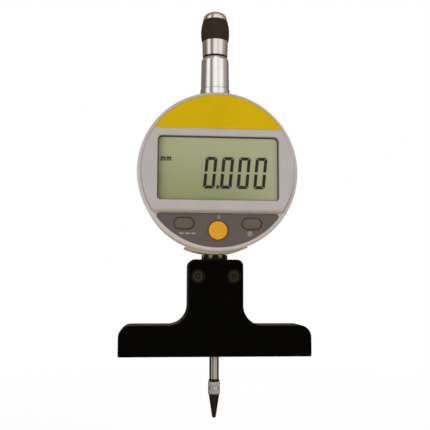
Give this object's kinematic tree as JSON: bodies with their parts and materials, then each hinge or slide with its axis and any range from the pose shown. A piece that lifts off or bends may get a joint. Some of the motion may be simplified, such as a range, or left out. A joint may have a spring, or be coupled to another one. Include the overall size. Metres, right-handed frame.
{
  "type": "digital depth gauge",
  "caption": "Digital depth gauge: T-shaped base clamped to the stem of a round-cased electronic indicator, with a spring-loaded spindle, a contact point below and a lifting knob on top.",
  "frame": {"origin": "centre of the base's measuring face, on the spindle's axis", "axes": "+Z along the spindle towards the lifting knob, -Y towards the user who reads the display, +X to that user's right"},
  "size_m": [0.08, 0.0286, 0.1751],
  "materials": {
    "black_oxide_steel": "hardened steel, blackened, satin",
    "dark_steel": "blackened steel, satin",
    "ground_steel": "ground bare steel",
    "chrome": "bright turned and plated",
    "bronze": "plain sintered bronze",
    "cast_alloy": "die-cast, fine matte paint",
    "grey_plastic": "moulded, fine matte grain",
    "yellow_film": "printed film, satin",
    "dark_plastic": "moulded, matte",
    "pill_plastic": "moulded, matte",
    "orange_plastic": "moulded, satin",
    "clear_plastic": "clear moulded window",
    "display_glass": "reflective liquid-crystal cell, grey-green",
    "black_rubber": "plain rubber",
    "white_plastic": "moulded, matte",
    "circuit_board": "green solder mask",
    "scale_glass": "coated glass",
    "grip_plastic": "black moulded grip"
  },
  "bodies": {
    "gauge": {"depth_base": "black_oxide_steel", "clamp_screw_left": "dark_steel", "clamp_screw_right": "dark_steel", "stem": "ground_steel", "stem_collar": "dark_steel", "lower_bush": "bronze", "stop_ring": "black_rubber", "main_case": "cast_alloy", "case_seal": "black_rubber", "rear_cover": "cast_alloy", "cover_screw_1": "dark_steel", "cover_screw_2": "dark_steel", "cover_screw_3": "dark_steel", "cover_screw_4": "dark_steel", "battery_lid": "cast_alloy", "lid_seal": "black_rubber", "battery": "ground_steel", "battery_minus_leaf": "bronze", "battery_plus_leaf": "bronze", "front_bezel": "grey_plastic", "top_band": "yellow_film", "keypad_panel": "dark_plastic", "display_window": "clear_plastic", "window_gasket": "black_rubber", "lcd_cell": "display_glass", "lcd_holder": "white_plastic", "connector_strip_upper": "black_rubber", "connector_strip_lower": "black_rubber", "main_board": "circuit_board", "keypad_mat": "black_rubber", "guide_rail": "cast_alloy", "rail_screw_lower": "dark_steel", "rail_screw_upper": "dark_steel", "reader_head": "dark_plastic", "reader_connector": "white_plastic", "return_spring": "ground_steel", "tube_nut": "chrome", "upper_tube": "chrome", "upper_bush": "bronze"},
    "spindle_set": {"spindle": "chrome", "contact_washer": "dark_steel", "contact_ferrule": "ground_steel", "contact_cone": "dark_steel", "scale_carrier": "cast_alloy", "carrier_screw": "dark_steel", "guide_pin": "ground_steel", "scale_strip": "scale_glass", "knob_body": "chrome", "knob_grip": "grip_plastic", "knob_cap": "chrome"},
    "left_key": {"left_button": "pill_plastic"},
    "right_key": {"right_button": "pill_plastic"},
    "zero_key": {"zero_button": "orange_plastic"}
  },
  "joints": [
    {"name": "spindle_slide", "type": "slide", "parent": "gauge", "child": "spindle_set", "axis": [0, 0, 1], "range_m": [0, 0.0254], "stiffness_N_per_m": 20, "springref_m": -0.05, "deforming": ["return_spring"]},
    {"name": "left_press", "type": "slide", "parent": "gauge", "child": "left_key", "axis": [0, 1, 0], "range_m": [0, 0.0005], "stiffness_N_per_m": 600},
    {"name": "right_press", "type": "slide", "parent": "gauge", "child": "right_key", "axis": [0, 1, 0], "range_m": [0, 0.0005], "stiffness_N_per_m": 600},
    {"name": "zero_press", "type": "slide", "parent": "gauge", "child": "zero_key", "axis": [0, 1, 0], "range_m": [0, 0.0005], "stiffness_N_per_m": 600}
  ]
}
